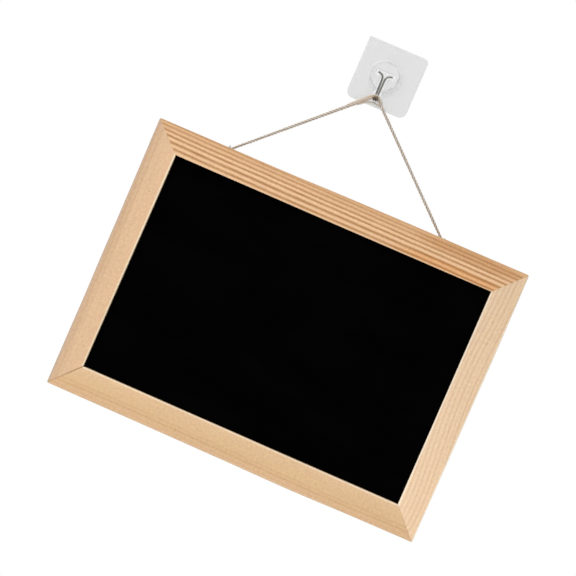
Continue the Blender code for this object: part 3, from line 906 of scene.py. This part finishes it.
def pineFinish(name):
    look = pine[name]
    wood = Finish(look["slot"])
    along, across, deep = railSpot(wood, name)
    own = wood.joined(along, across, deep)
    share = along / halfLength(name)

    # growth lines, which tilt back through the rail
    swing = wood.streaks(own, (0.011, 0.035, 0.035)) - 0.5
    shake = wood.streaks(own, (0.12, 0.5, 0.5)) - 0.5
    drift = look["drift"][-1]
    for factor in reversed(look["drift"][:-1]):
        drift = share * drift + factor
    ringed = across + deep * rail["lineTilt"] - drift + swing * 1.2 + shake * 0.7
    stops = [(0, 0)]
    for spot, before, after, strength in look["lines"]:
        stops += [(spot - before, 0), (spot, strength), (spot + after, 0)]
    line = wood.ramp(ringed, stops, rail["lineSpan"])
    line = line * (0.62 + wood.streaks(own, (0.04, 0.6, 0.6)) * 0.76)
    if "fade" in look:
        line = line * (0.35 + wood.ease(share, *look["fade"]) * 0.65)

    # fibres along the rail, short dark resin ducts, and a fine fleck
    fibre = wood.streaks(own, (0.05, 2.1, 2.1), 3, 0.6)
    hair = wood.streaks(own, (0.22, 7.5, 7.5), 2, 0.6)
    cloud = wood.streaks(own, (0.02, 0.06, 0.06), 3)
    fleck = wood.grain(own, 0.42, 2, 0.65)
    speck = wood.grain(own, 0.5, 1).output("Color")
    ducts = wood.ease(wood.streaks(own, (0.16, 3.6, 3.6), 1), 0.70, 0.80)

    def oval(spot, low, high):
        # 1 within an oval spot and 0 outside it
        outward = squares((along - spot[0]) / spot[2], (across - spot[1]) / spot[3])
        return wood.ease(outward, low, high)

    color = wood.mix(line, wood.ramp(across, look["bands"], rail["bandSpan"]), look["late"])
    for *spot, stain in look.get("patches", ()):
        color = wood.mix(oval(spot, 1.1, 0.3), color, stain, "MULTIPLY")
    color = wood.mix(ducts * 0.30, color, rail["duct"])
    for *spot, strength in look.get("marks", ()):
        color = wood.mix(oval(spot, 1.6, 0.2) * strength, color, rail["mark"])

    # inner arris rubbed pale with painted highlight, outer arris worn with painted highlight on the
    # right stile, sawn back
    shallow = wood.ease(deep, *rail["arrisDepth"])
    # the inner arris: rubbed wear and painted highlight
    rubbedAndHighlit, strength = look["arris"]
    inward = across - strayOn(name, "inner", share)
    pale = wood.ease(inward, *rail["rubbedAndHighlit"]) * shallow * (0.75 + fibre * 0.5)
    color = wood.mix(pale * strength, color, rubbedAndHighlit)
    # the outer arris: wear, and on the right stile painted highlight
    wornAndHighlitTone, strength = look["handledAndHighlit"]
    outward = across - strayOn(name, "outer", share)
    color = wood.mix(wood.ease(outward, *rail["handledAndHighlit"]) * shallow * strength, color, wornAndHighlitTone)
    sawn = wood.ease(deep, *rail["sawn"])
    tooth = (along * 3.6 + fibre * 3 + across * 0.35).sine()
    color = wood.mix(sawn * (0.25 + tooth * 0.12), color, rail["sawnTone"])

    color = wood.mix(rail["speck"], color, speck, "SOFT_LIGHT")
    shade = 1 + (fibre - 0.5) * 0.10 + (hair - 0.5) * 0.08 + (cloud - 0.5) * 0.10
    shade = shade + (fleck - 0.5) * rail["fleck"] + share * look["paler"]
    height = line * 0.6 + fibre * 0.7 + hair * 0.35 - ducts * 0.8 + sawn * tooth * 0.7
    roughness = 0.62 - line * 0.10 + hair * 0.12 + sawn * 0.15
    bump = wood.bump(height, 0.00009, 0.55)
    return wood.surface(wood.scaled(color, shade), roughness, bump, 0.22)


def glueFinish():
    glue = Finish("dried_glue")
    place = glue.place()
    color = glue.mix(glue.grain(place, 0.5, 3), *rail["glue"])
    # rubbed as pale as the wood toward the outer corners
    x, y, z = glue.parts(place)
    outer = glue.ease(abs(x - board["middleX"]) / halfLength("top_rail"), *rail["paleGlueFrom"])
    color = glue.mix(outer * 0.8, color, rail["paleGlue"])
    roughness = 0.5 + glue.grain(place, 3, 2) * 0.3
    return glue.surface(color, roughness, glue.bump(glue.grain(place, 2, 2), 0.0001))


def addGlue(name, joint, finish):
    # dried glue standing in the mitre at a rail's first end
    inset = rail["glueInset"]
    start = inset + rail["glueFrom"]
    half = halfLength(name)
    edge = rail["width"] - inset
    back = rail["depth"] - inset
    shelf = back - rail["rebateDepth"]
    wall = edge - rail["rebateWidth"]
    outline = ((start, back), (wall, back), (wall, shelf), (edge, shelf), (edge, inset), (start, inset))
    loops = []
    for side in (-1, 1):
        shift = side * rail["gaps"][joint] * rail["glueFill"] * sqrt(0.5)
        loop = []
        for across, deep in outline:
            if deep < 1:
                uneven = noise.noise(Vector((across * 0.3, deep, side)))
                deep += rail["glueSink"] * (1 + uneven)
            loop.append(toBoard(name, across - half + shift, across - shift, deep))
        loops.append(loop)
    addPiece(f"mitre_glue_{joint}", solid(loops), finish, "board")


def buildFrame():
    glue = glueFinish()
    for name, look in pine.items():
        wood = pineFinish(name)
        addPiece(f"pine_{name}", railMesh(name), wood, "board", [name], 50)
        addGlue(name, look["joints"][0], glue)
    print("pine frame built")


buildFrame()


panel = {
    "black": ((0, 0, 0), (3, 3, 3)),
    "hardboard": ((168, 132, 96), (134, 100, 68)),
    "screen": 1.15,  # mm, the mesh pressed into the hardboard's back
    "paint": (0.25, 0.05),  # how deep the black goes
}


def panelFinish():
    low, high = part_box("writing_panel")
    face = Finish("black_writing_face")
    place = face.place()
    x, y, z = face.parts(place)
    front = face.ease(y - low.y / mm, *panel["paint"])
    roll = face.grain(place, 0.9, 3)
    fine = face.grain(place, 6, 2)
    cloud = face.streaks(place, (0.012, 1, 0.03), 3)
    black = face.mix(face.ease(cloud, 0.35, 0.75) * 0.7 + fine * 0.3, *panel["black"])
    fibres = face.grain(place, 1.6, 4, 0.7)
    brown = face.mix(face.ease(fibres, 0.35, 0.7), *panel["hardboard"])
    turn = tau / panel["screen"]
    mesh = (x * turn).sine() * (z * turn).sine()
    height = front * (roll * 0.4 + fine * 0.4) + (1 - front) * (mesh * 0.5 + fibres * 0.6)
    color = face.mix(front, brown, black)
    bump = face.bump(height, 0.00012, 0.5)
    return face.surface(color, 0.9 - front * 0.1 + roll * 0.1, bump, 0.012)


def steelFinish():
    steel = Finish("zinc_plated_steel")
    place = steel.place()
    spangle = steel.grain(place, 1.4, 2)
    scratch = steel.streaks(place, (3, 14, 3))
    color = steel.mix(spangle, (176, 177, 172), (205, 205, 200))
    color = steel.mix(steel.ease(scratch, 0.62, 0.8) * 0.35, color, (140, 138, 132))
    roughness = 0.28 + spangle * 0.2 + scratch * 0.08
    return steel.surface(color, roughness, steel.bump(scratch, 0.00004, 0.5), Metallic=1.0)


steel = steelFinish()
refinish(panelFinish(), "writing_panel")
smallSteel = [name for name in nodes if name.startswith(("corner_staple", "panel_point"))]
refinish(steel, *smallSteel)
print("panel and", len(smallSteel), "steel bits finished")


eye = {
    "wire": 0.9,  # mm
    "ring": 3.4,
    "ringFrom": 26,  # degrees
    "ringTurn": 300,
    "ringSteps": 24,
    "shank": 8.8,
    "plain": 1.2,  # no thread this near the ring
    "bend": ((-0.6, 0), (0.25, 0.12)),  # from the shank into the ring
    "point": (0.12, 1.6),  # how blunt, and how long
    "cutEnd": (0.3, 0.82, 0.6),  # how long the ring's end is, its share of the radius, and its rise
    "pitch": 0.8,
    "thread": 0.26,  # how deep the thread is cut, of the wire's radius
    "gap": 0.3,
    "step": 0.1,
    "sides": 16,
    "places": {"left": (-102.90, -4.60, -113.15), "right": (102.50, -4.60, -113.15)},
}


def eyeMesh(middle):
    outer = eye["ring"] + eye["wire"]
    tip = -(outer + eye["gap"] + eye["shank"])
    route = [(0, tip, 0), (0, tip + eye["shank"] / 2, 0)]
    route += [(0, back - outer, rise) for back, rise in eye["bend"]]
    for step in range(eye["ringSteps"] + 1):
        angle = radians(eye["ringFrom"] + eye["ringTurn"] * step / eye["ringSteps"])
        route.append((0, -eye["ring"] * cos(angle), eye["ring"] * sin(angle)))
    points = smoothLine(route, eye["step"])
    runs = travelled(points)
    endLength, endShare, endRise = eye["cutEnd"]
    sharp, point = eye["point"]

    def reach(index, angle):
        run = runs[index]
        left = runs[-1] - run
        if left < endLength:
            return eye["wire"] * (endShare + endRise * left)
        if run > eye["shank"] - eye["plain"]:
            return eye["wire"]
        wave = 0.5 - 0.5 * cos(tau * run / eye["pitch"] - angle)
        return eye["wire"] * (1 - eye["thread"] * wave) * min(1, sharp + run / point)

    return placedTube(points, reach, eye["sides"], middle)


for side, middle in eye["places"].items():
    ring = eyeMesh(middle)
    addPiece(f"steel_eye_{side}", ring, steel, "board", [f"screw_eye_{side}"], 60)
print("screw eyes turned")


hook = {
    "padSize": 56.5,  # mm, like everything here
    "padBack": -0.7,
    "padFront": -2.2,
    "padEdge": 0.45,
    "padFlat": 0.6,
    "padCorners": {(1, 1): 4.5, (-1, 1): 1.2, (-1, -1): 6.5, (1, -1): 7.0},
    "cornerSteps": 14,
    "sharpest": 0.05,
    "middle": -2.2,  # of the boss, left of the pad's middle
    "flangeRadius": 15.2,
    "flangeTop": -3.4,
    "flangeRound": 0.3,
    "fillet": 0.5,
    "bossRadius": 12.2,
    "bossTop": -7.75,
    "bossRound": 1.1,
    "bossFlat": 2.2,
    "sunk": 0.02,  # the boss in the pad
    "lobes": 8,
    "lobeHeight": 0.9,
    "lobeSteps": 24,
    "slotFloor": -4.1,
    "slot": ((2.3, -17.2), (2.3, -3.3), (3.4, -1.7), (3.4, 2.7)),  # half its outline, aside and up
    "cutPast": 2,
    "bore": 1.45,
    "boreReach": 7.3,
    "boreSides": 32,
    "pivot": (-2.2, -5.25, 1.5),
    "wire": 0.85,
    "legs": (  # aside and up from the pivot
        (6.70, 0.05), (5.90, -0.08), (4.80, -0.34), (3.60, -0.78), (2.55, -1.40),
        (1.80, -2.40), (1.38, -4.00), (1.16, -7.00), (1.05, -12.00), (0.98, -17.00),
    ),
    "legEnd": -20.7,
    "curl": 3.7,
    "curlAngle": 135,
    "curlSteps": 14,
    "tip": 0.3,
    "spread": 0.96,
    "wireStep": 0.22,
    "wireSides": 20,
    "wireEnd": (0.12, 0.6, 0.8),  # how blunt the pins are, over how far they thin, and how much
    "bright": ((104, 104, 101), (138, 137, 132)),
    "tipReflectionShade": (96, 76, 56),
    "tipFrom": (-10.2, -12.0),  # painted reflection of the twine and painted shade on the tip, from here forward
}


def padMesh():
    half = hook["padSize"] / 2
    edge = hook["padEdge"]
    front = hook["padFront"]
    levels = [(0, hook["padBack"])]
    levels += [(inward, front + short) for inward, short in quarterTurn(edge, 4)]
    levels.append((edge + hook["padFlat"], front))
    loops = []
    for inset, y in levels:
        loop = []
        for turn, ((side, rise), corner) in enumerate(hook["padCorners"].items()):
            radius = max(corner - inset, hook["sharpest"])
            for step in range(hook["cornerSteps"] + 1):
                angle = (turn + step / hook["cornerSteps"]) * pi / 2
                x = side * (half - inset - radius) + radius * cos(angle)
                z = rise * (half - inset - radius) + radius * sin(angle)
                loop.append(Vector((x, y, z)) * mm)
        loops.append(loop)
    return solid(loops)


def bossMesh():
    soft, fillet, rounding = hook["flangeRound"], hook["fillet"], hook["bossRound"]
    low, high = hook["flangeTop"], hook["bossTop"]
    levels = [("flange", 0, hook["padFront"] - hook["sunk"])]
    levels += [("flange", inward, low + short) for inward, short in quarterTurn(soft, 3)]
    levels += [("body", -short, low - inward) for inward, short in quarterTurn(fillet, 3)]
    levels += [("body", inward, high + short) for inward, short in quarterTurn(rounding, 6)]
    levels.append(("body", hook["bossFlat"], high))
    steps = hook["lobes"] * hook["lobeSteps"]
    loops = []
    for kind, inset, y in levels:
        loop = []
        for step in range(steps):
            angle = tau * step / steps
            lobe = hook["lobeHeight"] * abs(sin(angle * hook["lobes"] / 2))
            radius = hook["flangeRadius"] if kind == "flange" else hook["bossRadius"] + lobe
            radius -= inset
            x = hook["middle"] + radius * cos(angle)
            loop.append(Vector((x, y, radius * sin(angle))) * mm)
        loops.append(loop)
    return solid(loops)


def slotCutter():
    half = hook["slot"]
    outline = [*half, *((-x, z) for x, z in reversed(half))]
    loops = []
    for y in (hook["slotFloor"], hook["bossTop"] - hook["cutPast"]):
        loops.append([Vector((hook["middle"] + x, y, z)) * mm for x, z in outline])
    return solid(loops)


def boreCutter():
    bm = bmesh.new()
    turn = Matrix.Translation(Vector(hook["pivot"]) * mm) @ Matrix.Rotation(pi / 2, 4, "Y")
    radius = hook["bore"] * mm
    length = 2 * hook["boreReach"] * mm
    sizes = {"radius1": radius, "radius2": radius, "depth": length}
    bmesh.ops.create_cone(bm, cap_ends=True, segments=hook["boreSides"], matrix=turn, **sizes)
    return bm


def wireMesh():
    half = [Vector((aside, 0, up)) for aside, up in hook["legs"]]
    spread = hook["spread"]
    turn = radians(hook["curlAngle"])
    for step in range(hook["curlSteps"] + 1):
        angle = turn * step / hook["curlSteps"]
        forward = hook["curl"] * (1 - cos(angle))
        half.append(Vector((spread, -forward, hook["legEnd"] - hook["curl"] * sin(angle))))
    rise = Vector((0, -sin(turn), -cos(turn)))
    tip = half[-1] + rise * hook["tip"]
    for inward, short in quarterTurn(spread, 3):
        half.append(tip + Vector((-inward, 0, 0)) + rise * (spread - short))
    mirrored = [Vector((-point.x, point.y, point.z)) for point in reversed(half[:-1])]
    points = smoothLine(half + mirrored, hook["wireStep"])
    runs = travelled(points)
    blunt, thins, share = hook["wireEnd"]

    def reach(index, angle):
        nearest = min(blunt + min(runs[index], runs[-1] - runs[index]), thins)
        return hook["wire"] * sqrt(1 - (1 - nearest / thins) ** 2 * share)

    return placedTube(points, reach, hook["wireSides"], hook["pivot"])


clear = {
    # each part's tones, how solid it is and how much less along the wire, where the white showing
    # through is painted highlight
    "pad": {"tones": ((202, 202, 202), (208, 208, 209)), "solid": 0.28, "wireHighlight": 0.8},
    # the boss's tones are whiter than the pad's: painted highlight for light refracted in its moulding
    "boss": {"tones": ((238, 238, 240), (252, 252, 253)), "solid": 0.30, "wireHighlight": 0.85},
    "film": {"tones": ((222, 222, 224), (232, 232, 232)), "solid": 0.10, "wireHighlight": 0},
    # painted shade along the boss's lobed edge and the flange's edge
    "rimShade": (196, 196, 200),
    # mm, where the painted highlight starts to clear and where it is clearest: beside, above and below
    # the wire's legs
    "legs": ((4.4, 2.8), (3.0, 1.0), (-22, -19)),
    "pins": ((9.6, 8.0), (3.4, 2.0)),  # and out along its pins and round them
    "rimFrom": ((-1.5, -0.4), (0.9, 0.2)),  # inside and outside the boss's lobed edge
    "flangeFrom": (14.4, 15.1),
}


def clearFinish(part):
    look = clear[part]
    plastic = Finish(f"clear_{part}")
    place = plastic.place()
    x, y, z = plastic.parts(place)
    cloud = plastic.grain(place, 0.12, 3)
    fine = plastic.grain(place, 0.9, 2)
    color = plastic.mix(cloud, *look["tones"])
    cover = look["solid"] + (cloud - 0.5) * 0.04
    # painted highlight: less solid, so whiter, beside the wire's legs and round its pins
    away = x - hook["middle"]
    aside, above, below = clear["legs"]
    legs = plastic.ease(abs(away), *aside) * plastic.ease(z, *above) * plastic.ease(z, *below)
    aside, around = clear["pins"]
    pins = plastic.ease(abs(away), *aside) * plastic.ease(abs(z - hook["pivot"][2]), *around)
    cover = cover * (1 - legs.calc("MAXIMUM", legs, pins) * look["wireHighlight"])
    # painted shade: a darker, more solid ring along the boss's lobed edge, and darker toward the
    # flange's edge
    if part == "boss":
        angle = z.calc("ARCTAN2", z, away) * (hook["lobes"] / 2)
        lobe = abs(angle.sine()) * hook["lobeHeight"] + hook["bossRadius"]
        radius = squares(away, z) ** 0.5
        inside, outside = clear["rimFrom"]
        rimShade = plastic.ease(radius - lobe, *inside) * plastic.ease(radius - lobe, *outside)
        flange = plastic.ease(radius, *clear["flangeFrom"])
        broken = plastic.ease(plastic.grain(place, 0.16, 2), 0.36, 0.62)
        color = plastic.mix((rimShade * 0.8 + flange * 0.3) * broken, color, clear["rimShade"])
        cover = cover + rimShade * broken * 0.10
    return plastic.surface(color, 0.12 + fine * 0.10, plastic.bump(fine, 0.00003, 0.4), Alpha=cover)


def polishedFinish():
    polished = Finish("polished_wire")
    place = polished.place()
    x, y, z = polished.parts(place)
    cloud = polished.grain(place, 0.5, 2)
    drawn = polished.streaks(place, (5, 5, 0.5))
    color = polished.mix(cloud, *hook["bright"])
    # painted reflection and shade: the tip darker brown
    tip = polished.ease(y, *hook["tipFrom"])
    color = polished.mix(tip * 0.85, color, hook["tipReflectionShade"])
    bump = polished.bump(drawn, 0.00003, 0.4)
    return polished.surface(color, 0.16 + drawn * 0.14, bump, Metallic=1.0)


def buildHook():
    refinish(clearFinish("film"), "adhesive_film")
    addPiece("clear_pad", padMesh(), clearFinish("pad"), "wall_fixing", ["hook_pad"])
    boss = carved(carved(bossMesh(), slotCutter()), boreCutter())
    addPiece("clear_boss", boss, clearFinish("boss"), "wall_fixing", ["hook_boss"])
    bright = polishedFinish()
    addPiece("bent_wire", wireMesh(), bright, "hook", ["wire_hook"], 60)
    print("hook built")


buildHook()
